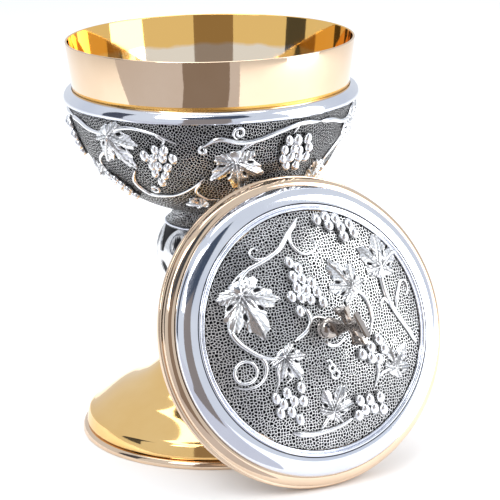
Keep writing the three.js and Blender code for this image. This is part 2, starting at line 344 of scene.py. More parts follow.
def chased(name, dark, light):
    """Bright relief: polished on top, with painted shade and tarnish in the hollows, low sides and undersides
    that the mesh marks as shade.
    """
    nodes = Nodes(name)
    shade = nodes.add("Attribute", attribute_name="shade").outputs["Fac"]
    grain = nodes.noise(700.0, 3.0)
    # Painted shade and tarnish, broken by a fine grain, set how dark each place is.
    hollow = nodes.math("ADD", shade, nodes.math("MULTIPLY", nodes.math("SUBTRACT", grain, 0.5), 0.35))
    depth = nodes.ramp(hollow, 0.25, 0.8)
    colour = nodes.mix(depth, light, dark)
    roughness = nodes.ramp(depth, 0.0, 1.0, 0.16, 0.5)
    normal = nodes.bump(grain, 0.00006, 0.35)
    return nodes.metal(colour, roughness, normal)


def machined(name, bright, deep):
    """Turned steel: fine tool marks that change its colour, roughness and height together."""
    nodes = Nodes(name)
    lines = nodes.noise(1400.0, 2.0)
    colour = nodes.mix(nodes.ramp(lines, 0.4, 0.6), bright, deep)
    return nodes.metal(colour, nodes.ramp(lines, 0.3, 0.7, 0.25, 0.42), nodes.bump(lines, 0.00003, 0.3))


GILT = polished("gilt", (0.84, 0.65, 0.47, 1), (0.78, 0.58, 0.40, 1), 0.03, 0.06)
# The lining's orange band near the lip is a painted reflection.
LINING_PAINTED_REFLECTION = gilt_with_painted_reflection()
# The orange line on the cup's wall just above the band is a painted reflection.
WALL_PAINTED_REFLECTION = polished("wall_painted_reflection", (0.98, 0.56, 0.16, 1), (0.90, 0.46, 0.10, 1), 0.25, 0.35)
GILT_FOOT = polished("gilt_foot", (0.95, 0.63, 0.26, 1), (0.90, 0.56, 0.20, 1), 0.05, 0.10)
GILT_LID = polished("gilt_lid", (0.84, 0.65, 0.48, 1), (0.76, 0.57, 0.41, 1), 0.05, 0.11)
SILVER = polished("polished_silver", (0.84, 0.86, 0.92, 1), (0.72, 0.75, 0.84, 1), 0.05, 0.12)
GROUND = matted("matted_silver", 0.00105)
GROUND_BOWL = matted("matted_silver_bowl", 0.0019, bowl_plane, (0.035, 0.10))
GROUND_LID = matted("matted_silver_lid", 0.00142, lid_plane)
# The relief's dark colour is painted shade and tarnish, where the mesh marks shade.
RELIEF = chased("chased_silver", (0.03, 0.03, 0.032, 1), (0.93, 0.935, 0.95, 1))
# The cross and its knob: silver painted a darker brown-grey, a painted dark reflection.
SILVER_PAINTED_DARK_REFLECTION = polished("silver_painted_dark_reflection", (0.56, 0.51, 0.47, 1), (0.36, 0.32, 0.29, 1), 0.06, 0.12)
STEEL = machined("turned_steel", (0.62, 0.62, 0.63, 1), (0.42, 0.42, 0.43, 1))


# ---------------------------------------------------------------- turned pieces of the vessel
def make_cup():
    painted_line_top = BAND_TOP + PAINTED_LINE_WIDTH
    outside = bowl_arc(CUP_HUB, WALL_FOOT, CUP_FACE, 48) + [(cup_wall_radius(painted_line_top), painted_line_top)]
    lining = bowl_arc(CUP_HUB, WALL_FOOT, CUP_FACE - SHEET, 48)[::-1]
    floor = bowl_height(BOWL_CENTRE_RADIUS, CUP_FACE - SHEET)
    lip = arc(RIM_RADIUS - RIM_THICKNESS / 2, RIM_HEIGHT - 0.4, RIM_THICKNESS / 2, 0.4, 0, 180, 10)
    profile = [(0, 112.9), (HOLE_RADIUS, 112.9), (HOLE_RADIUS, CUP_SEAT), (CUP_HUB, CUP_SEAT)]
    profile += outside + lip + lining + [(0, floor)]
    cup = turn_piece("cup", profile, "vessel", GILT)
    cup.data.materials.append(LINING_PAINTED_REFLECTION)
    cup.data.materials.append(WALL_PAINTED_REFLECTION)
    for face in cup.data.polygons:
        outward = face.normal.dot(Vector((face.center.x, face.center.y, 0))) > 0
        # Inside faces take the lining, with its painted orange reflection near the lip.
        if not outward and face.center.z > floor * MM:
            face.material_index = 1
        # Outside faces just above the band take the painted orange reflection line.
        if outward and WALL_FOOT * MM < face.center.z < painted_line_top * MM:
            face.material_index = 2


def make_jacket():
    outside = bowl_arc(JACKET_HOLE, BAND_FOOT - CLEARANCE, 0, 80)
    turn_piece("bowl_jacket", shell(outside, SHEET), "vessel", GROUND_BOWL)


def make_band():
    inner_top = cup_wall_radius(BAND_TOP) + CLEARANCE
    inner_foot = cup_wall_radius(BAND_FOOT) + CLEARANCE
    crown = inner_top + 0.2
    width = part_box("bowl_band")[1][0] / MM - crown
    rise = BAND_TOP - BAND_FOOT - 0.9
    edge = crown + width
    profile = [(inner_foot, BAND_FOOT), (edge - 0.5, BAND_FOOT), (edge - 0.15, BAND_FOOT + 0.3)]
    profile += arc(crown, BAND_FOOT + 0.9, width, rise, 0, 90, 24) + [(inner_top, BAND_TOP)]
    turn_piece("bowl_band", profile, "vessel", SILVER)


def make_neck():
    top = bowl_arc(JACKET_HOLE, bowl_height(19.3, CLEARANCE), CLEARANCE, 10)[::-1]
    flare = spline([(23.9, NECK_FOOT), (21.4, 109.6), top[0]], 10)
    seat = CUP_SEAT - CLEARANCE
    profile = [(HOLE_RADIUS, NECK_FOOT)] + flare + top[1:] + [(JACKET_HOLE, seat), (HOLE_RADIUS, seat)]
    turn_piece("neck", profile, "vessel", GROUND, facets=AROUND_SMALL)


def make_knop_rings():
    for name in ("knop_upper_ring", "knop_lower_ring"):
        low, high = (corner[2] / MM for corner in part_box(name))
        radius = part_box(name)[1][0] / MM
        half = (high - low) / 2
        profile = [(HOLE_RADIUS, low)] + arc(radius - half, low + half, half, half, -90, 90, 10)
        profile += [(HOLE_RADIUS, high)]
        turn_piece(name, profile, "vessel", SILVER, facets=AROUND_SMALL)


def make_stem_collar():
    low, high = (corner[2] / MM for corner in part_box("stem_collar"))
    flare = spline([(18, low + 1.4), (15.2, low + 4), (16.4, low + 7), (20.5, high)], 10)
    profile = [(HOLE_RADIUS, low), (17.6, low)] + flare + [(HOLE_RADIUS, high)]
    turn_piece("stem_collar", profile, "vessel", GILT_FOOT, facets=AROUND_SMALL)


def make_foot():
    knots = [(63.4, 11.6), (52, 19.8), (41, 25), (34, 29.4), (27.5, 36), (19.6, 48), (16, FOOT_TOP - 1)]
    trumpet = spline(knots, 12)
    skirt = [(65.5, 3.9), (66.1, 4.2), (66.4, 4.8), (66.3, 5.6), (65.2, 10), (65.0, 10.5), (64.5, 11.0)]
    lining = inside(skirt[2:] + trumpet[:-1], 1.5)[::-1]
    shelf = FOOT_TOP - 2.5
    profile = skirt + trumpet + [(15.4, FOOT_TOP), (HOLE_RADIUS, FOOT_TOP), (HOLE_RADIUS, shelf), (14, shelf)]
    turn_piece("foot", profile + lining + [(64.2, 3.9)], "vessel", GILT_FOOT)


def make_base_plate():
    profile = [(0, 0), (67.7, 0), (68.2, 0.15), (68.5, 0.6), (68.45, 1.6), (68.1, 2.7), (67.6, 3.3)]
    profile += [(67.0, 3.6), (63, 3.6), (62.6, 7.5), (60.5, 7.5), (60.5, 2.6), (0, 2.6)]
    turn_piece("foot_base_plate", profile, "vessel", GILT_LID)


# ---------------------------------------------------------------- turned pieces of the lid
def make_lid_skirt():
    skirt = arc(72.2, 0.8, 0.8, 0.8, -90, 0, 6) + arc(72.2, 2.2, 0.8, 0.8, 0, 90, 6)
    skirt += [(71.4, 3.1), (70.9, 3.3), (70.85, 4.3), (71.3, 4.5)]
    skirt += arc(67.4, 4.9, 4.4, 3.3, 0, 78, 12) + [(67.6, 8.2)]
    profile = [(70.9, 0)] + skirt + [(66.2, 8.2), (66.2, 6.8), (69.8, 4.6), (69.8, 3), (70.9, 2.4)]
    turn_piece("lid_skirt", profile, "lid", GILT_LID, LID_PLACE)


def make_lid_liner():
    inner = arc(0, 1.6, 67.1, 9.6, 0, 88, 30)
    profile = [(0, 11.2)] + inner[::-1] + [(67.1, -6), (68, -6), (68.3, -5.4), (68.3, 0.3)]
    profile += [(70.6, 0.3), (70.6, 1.3), (68.3, 1.3)] + arc(0, 1.6, 68.2, 10.8, 2, 88, 30) + [(0, 12.4)]
    turn_piece("lid_liner", profile, "lid", GILT, LID_PLACE)


def make_lid_silver_ring():
    ring = arc(58.8, 8.7, 8.7, 5.9, 0, 90, 30)
    turn_piece("lid_silver_ring", shell(ring, SHEET), "lid", SILVER, LID_PLACE)


def make_lid_bead_ring():
    beads = arc(57.6, 14.2, 0.85, 1, 0, 168, 12) + arc(56, 14.2, 0.65, 0.75, 12, 180, 12)
    profile = [(55.3, 12.9), (58.5, 12.9), (58.5, 14)] + beads
    turn_piece("lid_bead_ring", profile, "lid", SILVER, LID_PLACE)


def make_lid_dome():
    radii = np.linspace(DOME_RADIUS, 2.3, 60)
    face = [(radius, dome_height(radius)) for radius in radii]
    turn_piece("lid_dome", shell(face, SHEET), "lid", GROUND_LID, LID_PLACE)


# ---------------------------------------------------------------- relief
class Bowl:
    """The jacket's face. A place on it is (degrees around, height), and steps on it are in millimetres."""

    def at(self, place, step=(0.0, 0.0), lift=0.0):
        azimuth, height = place
        slope = bowl_slope(height, step[1])
        reach = BOWL_CURVATURE + lift
        radius = BOWL_CENTRE_RADIUS + BOWL_CURVATURE * cos(slope)
        turn = radians(azimuth) + step[0] / radius
        out = BOWL_CENTRE_RADIUS + reach * cos(slope)
        return Vector((out * cos(turn), out * sin(turn), BOWL_CENTRE_HEIGHT - reach * sin(slope)))

    def offset(self, place, step):
        """The place that lies a step away."""
        height = BOWL_CENTRE_HEIGHT - BOWL_CURVATURE * sin(bowl_slope(place[1], step[1]))
        return (place[0] + degrees(step[0] / bowl_radius(height)), height)


class Dome:
    """The lid's chased plate. A place on it is (across, up) in millimetres from the lid's axis."""

    def at(self, place, step=(0.0, 0.0), lift=0.0):
        across, up = self.offset(place, step)
        height = dome_height(min(hypot(across, up), DOME_RADIUS + 2))
        normal = Vector((across, up, height - DOME_APEX + DOME_CURVATURE)).normalized()
        return LID_PLACE @ (Vector((across, up, height)) + normal * lift)

    def offset(self, place, step):
        """The place that lies a step away."""
        return (place[0] + step[0], place[1] + step[1])


def wire_shade(angle):
    """Painted shade and tarnish on round wire, gathered low on its sides."""
    return 0.75 if sin(angle) < 0.3 else 0.0


def leaf_edge(lobes, size, angle):
    """How far a leaf reaches at an angle: its lobes' outline, cut into small teeth."""
    reach = 0.16
    for centre, length, wide in lobes:
        gap = abs(angle - centre) / wide
        reach = max(reach, length * (1 - 0.45 * min(gap, 1.5) ** 1.15))
    tooth = abs((angle / 7.5) % 2 - 1)
    return size * reach * (1 - 0.12 * tooth)


def leaf_surface(lobes, eyes, size, reach, angle, edge):
    """The lift and the painted shade and tarnish of a place on a leaf: domed, with ribbed veins and deep
    eyes, darkened beside the veins, in the rib grooves and in the eyes.
    """
    lift = 0.6 + 1.5 * (1 - (reach / edge) ** 2.4)
    shade = 0.0
    for centre, length, _ in lobes:
        turn = radians(angle - centre)
        along, off = reach * cos(turn), abs(reach * sin(turn))
        if abs(turn) < pi / 2 and along < length * size * 0.96:
            vein = 0.55 * np.exp(-((off / 0.45) ** 2))
            dip = 0.35 * np.exp(-(((off - 0.25 * reach) / 1.2) ** 2))
            lift += vein - dip
            shade = max(shade, 0.7 * np.exp(-(((off - 0.8) / 0.3) ** 2)) * min(1.0, reach / 2.5))
            rib = abs(((along - 0.9 * off) / (0.105 * size)) % 1 - 0.5) * 2
            if off < 0.2 * size:
                lift += 0.42 * (rib - 0.5)
                shade = max(shade, 0.75 * (1 - rib) ** 2)
    for centre, distance in eyes:
        turn = radians(angle - centre)
        along, across = reach * cos(turn) - distance, reach * sin(turn)
        hole = np.exp(-(((along / 0.09) ** 2 + (across / 0.042) ** 2) ** 2) / size**4)
        lift -= 1.3 * hole
        shade = max(shade, 1.3 * hole)
    return max(lift, 0.12), min(shade, 1.0)


class Relief:
    """Gathers the points, faces and shades of one kind of relief on one face."""

    def __init__(self, face):
        self.face = face
        self.points = []
        self.faces = []
        self.shades = []

    def grid(self, rows, shades, around, capped):
        """Joins rows of points into quads. around closes each row, capped closes both ends."""
        first = len(self.points)
        width = len(rows[0])
        for row, shade in zip(rows, shades):
            self.points += row
            self.shades += shade
        for i in range(len(rows) - 1):
            for j in range(width if around else width - 1):
                a = first + i * width + j
                b = first + i * width + (j + 1) % width
                self.faces.append((a, b, b + width, a + width))
        if capped:
            last = first + (len(rows) - 1) * width
            self.faces.append(tuple(range(first + width - 1, first - 1, -1)))
            self.faces.append(tuple(range(last, last + width)))

    def vine(self, places, width, tip=0.35, steps=8):
        """A round stem half sunk along a curve, tapering to its tip."""
        path = spline(places, steps)
        centres = [self.face.at(place, lift=WIRE_LIFT) for place in path]
        ups = [(self.face.at(place, lift=1.0) - self.face.at(place)).normalized() for place in path]
        sides = 10
        rows, shades = [], []
        for i, (centre, up) in enumerate(zip(centres, ups)):
            along = (centres[min(i + 1, len(centres) - 1)] - centres[max(i - 1, 0)]).normalized()
            across = up.cross(along).normalized()
            share = i / (len(centres) - 1)
            half = 0.6 * width * (1 - (1 - tip) * share**1.5)
            half *= min(1.0, 0.35 + 5 * share, 0.3 + 9 * (1 - share))
            row, shade = [], []
            for k in range(sides):
                angle = 2 * pi * k / sides
                row.append(centre + across * (half * cos(angle)) + up * (half * 1.15 * sin(angle)))
                shade.append(wire_shade(angle))
            rows.append(row)
            shades.append(shade)
        self.grid(rows, shades, around=True, capped=True)

    def curl(self, place, radius, turns, start, width=1.1, hand=1):
        """A tendril wound into a flat spiral about a place, from its outer end inwards."""
        count = int(12 * turns)
        path = []
        for i in range(count + 1):
            angle = radians(start) + hand * 2 * pi * turns * i / count
            reach = radius * (1 - 0.78 * i / count)
            path.append((reach * cos(angle), reach * sin(angle)))
        self.vine([self.face.offset(place, step) for step in path], width, 0.75, steps=3)

    def ring(self, place, radius, width):
        """A closed ring of round wire about a place."""
        count, sides = 36, 10
        rows, shades = [], []
        for i in range(count + 1):
            out = (cos(2 * pi * i / count), sin(2 * pi * i / count))
            row, shade = [], []
            for k in range(sides):
                angle = 2 * pi * k / sides
                reach = radius + width / 2 * cos(angle)
                lift = WIRE_LIFT + width / 2 * 1.15 * sin(angle)
                step = (out[0] * reach, out[1] * reach)
                row.append(self.face.at(self.face.offset(place, step), lift=lift))
                shade.append(wire_shade(angle))
            rows.append(row)
            shades.append(shade)
        self.grid(rows, shades, around=True, capped=False)

    def grape(self, place, radius, heading=-75.0):
        """One grape: an egg sunk a little into the face, its long way along the heading."""
        rings, sides = 8, 16
        centre = self.face.at(place, lift=radius * 0.6)
        up = (self.face.at(place, lift=1.0) - self.face.at(place)).normalized()
        ahead = (cos(radians(heading)), sin(radians(heading)))
        side = (self.face.at(place, step=ahead) - self.face.at(place)).normalized()
        other = up.cross(side) * 0.95
        side = side * 1.28
        rows, shades = [], []
        for i in range(rings + 1):
            fall = pi * (0.04 + 0.92 * i / rings)
            ring = radius * sin(fall)
            row = []
            for k in range(sides):
                angle = 2 * pi * k / sides
                spoke = side * cos(angle) + other * sin(angle)
                row.append(centre + up * (radius * cos(fall)) + spoke * ring)
            rows.append(row)
            # Painted shade and tarnish on the lower half of the grape, towards the face.
            shades.append([0.0 if i < 5 else 0.6] * sides)
        self.grid(rows[::-1], shades[::-1], around=True, capped=True)

    def cluster(self, places):
        """Grapes of one size, each at its own place."""
        for place in places:
            self.grape(place, GRAPE_RADIUS)

    def bunch(self, place, heading, rows, radius, seed):
        """A bunch of grapes: rows of balls that narrow towards the tip, along a heading in degrees."""
        rng = np.random.default_rng(seed)
        along = np.array([cos(radians(heading)), sin(radians(heading))])
        across = np.array([-along[1], along[0]])
        for i, count in enumerate(rows):
            for k in range(count):
                spread = (k - (count - 1) / 2) * radius * 1.95
                step = along * (i * radius * 2.0) + across * spread + rng.uniform(-0.35, 0.35, 2) * radius
                size = radius * rng.uniform(0.92, 1.1)
                self.grape(self.face.offset(place, step), size, heading + rng.uniform(-25, 25))

    def leaf(self, place, heading, size, seed):
        """A vine leaf with five toothed lobes, raised veins and pierced-looking eyes between the lobes."""
        rng = np.random.default_rng(seed)
        lobes = [(-104, 0.55, 38), (-50, 0.86, 31), (0, 1.08, 27), (50, 0.86, 31), (104, 0.55, 38)]
        lobes = [(a + rng.uniform(-5, 5), r * rng.uniform(0.93, 1.06), w) for a, r, w in lobes]
        eyes = [(a, r * size) for a, r in ((-75, 0.34), (-24, 0.46), (24, 0.46), (75, 0.34))]
        sides, rings = 150, 16
        half_turn = 156
        rows = [[] for _ in range(rings + 3)]
        shades = [[] for _ in range(rings + 3)]
        turn = radians(heading)
        for k in range(sides + 1):
            angle = -half_turn + 2 * half_turn * k / sides
            edge = leaf_edge(lobes, size, angle)
            levels = []
            for i in range(rings + 1):
                reach = edge * (0.03 + 0.97 * i / rings)
                levels.append((reach, *leaf_surface(lobes, eyes, size, reach, angle, edge)))
            # Painted shade and tarnish along the rim, where the leaf meets the face.
            levels += [(edge, 0.0, 0.9), (edge * 0.96, LEAF_SINK, 0.9)]
            for i, (reach, lift, shade) in enumerate(levels):
                step = (cos(turn + radians(angle)) * reach, sin(turn + radians(angle)) * reach)
                rows[i].append(self.face.at(self.face.offset(place, step), lift=lift))
                shades[i].append(shade)
        # The underside runs back to the leaf's base, a little below the face, and closes the mesh. It is
        # painted in full shade.
        rows.append([self.face.at(place, lift=LEAF_SINK)] * (sides + 1))
        shades.append([1.0] * (sides + 1))
        self.grid(rows, shades, around=True, capped=False)
        base = len(self.points) - len(rows) * (sides + 1)
        self.faces.append(tuple(range(base + sides, base - 1, -1)))

    def make(self, name, body):
        piece = add_piece(
            name, self.points, self.faces, body, None, RELIEF, sharp=60.0, shade=self.shades
        )
        tidy_mesh(piece.data)


def tidy_mesh(mesh):
    """Merges doubled points and turns every face outwards."""
    work = bmesh.new()
    work.from_mesh(mesh)
    bmesh.ops.remove_doubles(work, verts=work.verts, dist=0.5e-6)
    bmesh.ops.dissolve_degenerate(work, edges=work.edges, dist=1e-7)
    bmesh.ops.recalc_face_normals(work, faces=work.faces)
    work.to_mesh(mesh)
    work.free()


def chase_lid_left(vines, leaves):
    """The long vine from the top edge round to the big leaf, and on to the lower-left leaf."""
    vines.vine([
        (-0.5, 52), (-4, 48.5), (-8.5, 44.5), (-14.5, 38.5),
        (-23, 34.5), (-31, 31.5), (-35.5, 27), (-36.5, 21),
    ], 2.4, 0.6)
    vines.vine([(-29, 32.5), (-35, 30), (-40, 26)], 1.4)
    vines.vine([(-18, 36.5), (-23, 35.5), (-27, 36.5), (-28, 39.5), (-25.5, 41), (-24, 39.5)], 1.5)
    vines.vine([(-5.5, 47), (-7.5, 43), (-6.8, 38.5), (-2.5, 35), (3, 36), (4.5, 39.5), (2.2, 41)], 1.7)
    leaves.leaf((-36.5, 21), -66, 22.5, seed=3)
    vines.vine([(-44.5, 7.5), (-43, 3), (-40, -1.5), (-33.5, -7), (-28, -9.5), (-22, -10)], 2.3, 0.6)
    vines.vine([(-34, -7), (-31, -10.5), (-31, -15.5), (-34.5, -20), (-41, -21), (-46, -19)], 1.9)
    vines.ring((-40, -13.8), 5.0, 1.7)
    leaves.leaf((-22, -9.5), -52, 13.5, seed=5)


def chase_lid_middle(vines, leaves, grapes):
    """The tall bunch, its stems, and the leaf above the cross."""
    grapes.cluster([
        (-11.5, 32), (-8, 29), (-11.5, 25.5), (-7.5, 24), (-10.8, 20.2), (-6.6, 18.6), (-3.2, 21.4),
        (-14.2, 16.6), (-9.6, 15.6), (-5.4, 14.2), (-1.6, 17), (0.4, 12), (-11.6, 9.6),
    ])
    vines.vine([(-9, 11.5), (-7, 7.5), (-7.2, 3.5), (-10, 0), (-16, -3.5)], 1.9, 0.8)
    vines.vine([(-7, 4.5), (-3.5, 5.8), (2.5, 4)], 1.5)
    leaves.leaf((17.2, 16.5), 128, 16, seed=11)
    vines.vine([(17.5, 16.5), (22.5, 13), (25.3, 7), (25.6, 0), (23.5, -6)], 1.9)
    vines.vine([(-1.5, -6), (2, -8.2), (6, -8), (10, -5)], 1.7)


def chase_lid_right(vines, leaves, grapes):
    """The top bunch, the edge leaf, the long vine down the edge, its curls, and the bunch below the cross."""
    grapes.cluster([
        (8, 49.4), (13, 50), (17.8, 48.6), (13.4, 46), (19.4, 44.4), (24.4, 45.2), (25.4, 41.2), (19.6, 40),
    ])
    leaves.leaf((36, 23.5), 82, 17.5, seed=17)
    vines.vine([(36, 23.5), (35.6, 17), (36.8, 9), (41, 1), (46.5, -7), (51, -14)], 2.3, 0.8)
    vines.vine([(38, 5.5), (35, 9), (32.5, 7), (33, 4.5)], 1.5)
    vines.vine([(41, 2), (43, 9), (46.5, 15), (50, 16), (51, 11.5), (48.5, 8.5)], 1.5)
    grapes.cluster([(16.8, -14.4), (21.8, -11.8), (26.8, -9), (29.2, -13.6), (21.6, -16.8), (25.6, -17.8)])
    leaves.leaf((35.4, -23.5), 50, 12.5, seed=23)
    vines.vine([(24.8, -17.5), (25.8, -23), (23, -31)], 1.8)
    vines.vine([(25.6, -26), (30, -24), (35.4, -23.5)], 1.6)
    vines.ring((2.1, -21.3), 1.9, 1.4)
    vines.ring((0.7, -18.2), 1.5, 1.3)
    vines.curl((-1.0, -15.6), 2.4, 0.8, 240, 1.1)


def chase_lid_bottom(vines, leaves, grapes):
    """Two bunches, the leaf between them, and the stem along the edge."""
    grapes.cluster([
        (-28, -27.2), (-22.8, -25.6), (-16, -24.2), (-24.8, -30.2), (-19.8, -29.6), (-15.4, -30.4),
        (-26.4, -34), (-21.2, -34.4), (-17.4, -38.4),
    ])
    vines.vine([(-22, -10), (-25.5, -15), (-25.5, -20), (-27.5, -25)], 1.6)
    vines.vine([(-22, -16), (-19.5, -19.5), (-22.5, -21.5)], 1.3)
    leaves.leaf((-0.5, -38), 62, 14.5, seed=29)
    vines.vine([(-0.5, -38), (-6.5, -45)], 1.7, 0.8)
    vines.vine([(-20.5, -44.5), (-13, -46.5), (-5, -46.5), (4, -45), (11, -42.5)], 2.6, 0.5)
    grapes.cluster([
        (13.4, -35), (18.8, -35.4), (16.2, -39.6), (21.2, -39.8), (24.8, -35.2), (12.4, -41.6), (26.4, -41),
    ])


def make_lid_relief():
    face = Dome()
    vines, leaves, grapes = Relief(face), Relief(face), Relief(face)
    chase_lid_left(vines, leaves)
    chase_lid_middle(vines, leaves, grapes)
    chase_lid_right(vines, leaves, grapes)
    chase_lid_bottom(vines, leaves, grapes)
    vines.make("lid_vines", "lid")
    leaves.make("lid_leaves", "lid")
    grapes.make("lid_grapes", "lid")


def chase_bowl_top(at, vines, leaves, grapes):
    """The upper row: two leaves and two bunches on a long waving vine."""
    leaves.leaf(at(-160, 160), -62, 20, seed=41)
    vines.vine([at(-188, 164), at(-180, 163), at(-172, 160.5), at(-161, 160)], 2.2, 0.7)
    vines.vine([at(-161, 160), at(-154, 164), at(-147, 165), at(-138, 163), at(-129, 158.5)], 2.1)
    vines.vine([at(-138, 163), at(-134.5, 160), at(-136, 157)], 1.6)
    grapes.bunch(at(-136.5, 156.5), -97, (2, 4, 3, 2, 1), 2.3, seed=43)
    vines.vine([
        at(-119, 157.5), at(-113, 161), at(-105, 159), at(-98, 159.5),
        at(-89, 162.5), at(-79, 165), at(-68, 164),
    ], 2.3, 0.8)
    vines.curl(at(-105, 163.6), 3.2, 1.4, 250, 1.4, -1)
    vines.curl(at(-119, 155.5), 2.4, 1.1, 80, 1.4)
    vines.vine([at(-98, 159.5), at(-103, 156), at(-106, 150.5)], 1.8)
    leaves.leaf(at(-106, 150), -84, 20, seed=47)
    grapes.bunch(at(-80, 157.5), -94, (3, 4, 4, 2), 2.3, seed=53)
    vines.vine([at(-80, 164.5), at(-82, 160.5)], 1.5)


def chase_bowl_foot(at, vines, leaves, grapes):
    """The lower row: scrolls that run round to the neck."""
    vines.vine([
        at(-152, 143), at(-156, 136), at(-152, 130), at(-143, 129.5),
        at(-134, 131), at(-126, 135), at(-119, 141),
    ], 1.9)
    vines.curl(at(-146, 133.5), 3.0, 1.2, 200, 1.3)
    vines.vine([at(-121, 139), at(-124, 133), at(-119, 128.5), at(-113, 128)], 1.5)
    leaves.leaf(at(-122, 126.5), 200, 8.5, seed=59)
    vines.vine([at(-113, 128), at(-104, 124), at(-92, 121.5), at(-80, 124), at(-70, 130), at(-62, 138)], 1.7)
    leaves.leaf(at(-62, 137), 40, 9.5, seed=61)
    vines.vine([at(-166, 151), at(-174, 145), at(-176, 139)], 1.7)
    grapes.bunch(at(-175, 137), -55, (2, 3, 3, 2, 1), 1.9, seed=67)


def make_bowl_relief():
    """One length of the pattern, then the same again around the far side of the bowl."""
    face = Bowl()
    vines, leaves, grapes = Relief(face), Relief(face), Relief(face)
    for turn in (0, 120, 240):
        def at(azimuth, height):
            return (azimuth + turn, height)

        chase_bowl_top(at, vines, leaves, grapes)
        chase_bowl_foot(at, vines, leaves, grapes)
    vines.make("bowl_vines", "vessel")
    leaves.make("bowl_leaves", "vessel")
    grapes.make("bowl_grapes", "vessel")


def knop_carving(around, level):
    """How deep the knop is and how much painted shade and tarnish it carries: two staggered rows of petals,
    each with a hollow eye.

    around counts petals, and level runs from -1 at the foot of the knop to 1 at its top.
    """
    depth, shade = 0.9, 0.95
    for row, stagger in ((1, 0.0), (-1, 0.5)):
        share = (around + stagger) % 1 - 0.5
        along = row * level
        if along < -0.15:
            continue
        wide = 0.49 * sqrt(max(1 - (max(along - 0.12, 0) / 0.9) ** 2.2, 0.0))
        inside_petal = 1 / (1 + np.exp((abs(share) - wide + 0.045) * 70))
        eye = np.exp(-(((share / 0.15) ** 2 + ((along - 0.50) / 0.30) ** 2) ** 2))
        reeds = 0.5 + 0.5 * cos(share * 120)
        depth = min(depth, 0.9 * (1 - inside_petal)) + 1.3 * eye + 0.15 * reeds * inside_petal
        shade = min(shade, 1 - inside_petal) + 0.8 * eye + 0.5 * reeds * inside_petal
    return min(depth, 1.5), min(shade, 1.0)


def make_knop():
    """The knop: a barrel whose petals stand up between dark leaf-shaped hollows."""
    steps_up, facets, petals = 72, 360, 8
    wall = 2.6
    slope = degrees(asin(KNOP_HALF_LENGTH / KNOP_HALF_HEIGHT))
    outside = arc(0, KNOP_HEIGHT, KNOP_RADIUS, KNOP_HALF_HEIGHT, -slope, slope, steps_up)
    hollow = arc(0, KNOP_HEIGHT, KNOP_RADIUS - wall, KNOP_HALF_HEIGHT - wall, slope - 6, 6 - slope, 10)
    low, high = KNOP_HEIGHT - KNOP_HALF_LENGTH, KNOP_HEIGHT + KNOP_HALF_LENGTH
    profile = [(HOLE_RADIUS, low)] + outside + [(HOLE_RADIUS, high), (HOLE_RADIUS, hollow[0][1])]
    profile += hollow + [(HOLE_RADIUS, hollow[-1][1])]
    points, faces = revolve(profile, facets)
    carved, shades = [], []
    for x, y, z in points:
        radius = hypot(x, y)
        level = (z - KNOP_HEIGHT) / KNOP_HALF_LENGTH
        face_radius = KNOP_RADIUS * sqrt(1 - ((z - KNOP_HEIGHT) / KNOP_HALF_HEIGHT) ** 2)
        # Places off the carved face keep a middle painted shade.
        scale, shade = 1.0, 0.4
        if radius > face_radius - 0.2 and abs(level) < 0.999:
            depth, shade = knop_carving(degrees(atan2(y, x)) / 360 * petals, level)
            scale = (radius - depth * (1 - abs(level) ** 8)) / radius
        carved.append((x * scale, y * scale, z))
        shades.append(shade)
    add_piece("knop_surface", carved, faces, "vessel", "knop", RELIEF, shade=shades)


def quadratic(start, middle, end, t):
    """A quadratic curve from start to end, drawn towards its middle value."""
    return (1 - t) ** 2 * start + 2 * t * (1 - t) * middle + t * t * end


def cross_outline(shrink):
    """The cross's outline, shrunk all around: four arms that widen from the waist to their ends."""
    waist = 2.1
    arms = [(11, 6.25), (9.5, 6.25), (15.8, 4.75), (9.5, 6.25)]
    points = []
    for quarter, (length, half_end) in enumerate(arms):
        turn = -quarter * pi / 2
        end, half, root = length - shrink, half_end - shrink, waist - shrink * 0.6
        left = [
            (quadratic(-root, -root, -half, t), quadratic(waist, length * 0.55, end, t))
            for t in np.linspace(0, 1, 12)
        ]
        right = [(-x, y) for x, y in left[::-1]]
        for x, y in left + right:
            points.append((x * cos(turn) - y * sin(turn), x * sin(turn) + y * cos(turn)))
    return points


def make_cross():
    """The cross: widening arms with bevelled edges, and a panel let into each broad face."""
    back = [(1.5, -0.9), (1.15, -1.4), (0.55, -1.4), (0, -0.85)]
    levels = back + [(shrink, -depth) for shrink, depth in back[::-1]]
    rings = [[(x, depth, z) for x, z in cross_outline(shrink)] for shrink, depth in levels]
    count = len(rings[0])
    points = [point for ring in rings for point in ring]
    faces = []
    for i in range(len(rings) - 1):
        for k in range(count):
            a, b = i * count + k, i * count + (k + 1) % count
            faces.append((a, b, b + count, a + count))
    faces.append(tuple(range(count - 1, -1, -1)))
    faces.append(tuple(range(len(points) - count, len(points))))
    place = LID_PLACE @ Matrix.Translation((0, 0, CROSS_CENTRE)) @ Matrix.Rotation(CROSS_TURN, 4, "Z")
    piece = add_piece(
        "cross_surface", points, faces, "lid", "cross", SILVER_PAINTED_DARK_REFLECTION, place, sharp=25.0
    )
    tidy_mesh(piece.data)


def make_cross_knob():
    low = DOME_APEX + CLEARANCE
    profile = [(0, 31.3), (2.3, 31.3), (2.3, low), (4.4, low), (4.5, low + 0.6), (4.1, low + 1.1)]
    profile += arc(0, low + 4.4, 4.9, 3.2, -42, 58, 18) + [(2.9, low + 7.6), (2.4, low + 8.6), (0, low + 8.6)]
    turn_piece("cross_knob", profile, "lid", SILVER_PAINTED_DARK_REFLECTION, LID_PLACE, AROUND_SMALL)


def dress_hardware():
    """The hidden rod, studs, nuts and washers keep their CAD meshes and get a turned-steel finish."""
    for name in ("tie_rod", "tie_nut", "foot_washer", "cross_stud", "cross_nut", "cross_washer"):
        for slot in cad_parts[name].material_slots:
            slot.material = STEEL


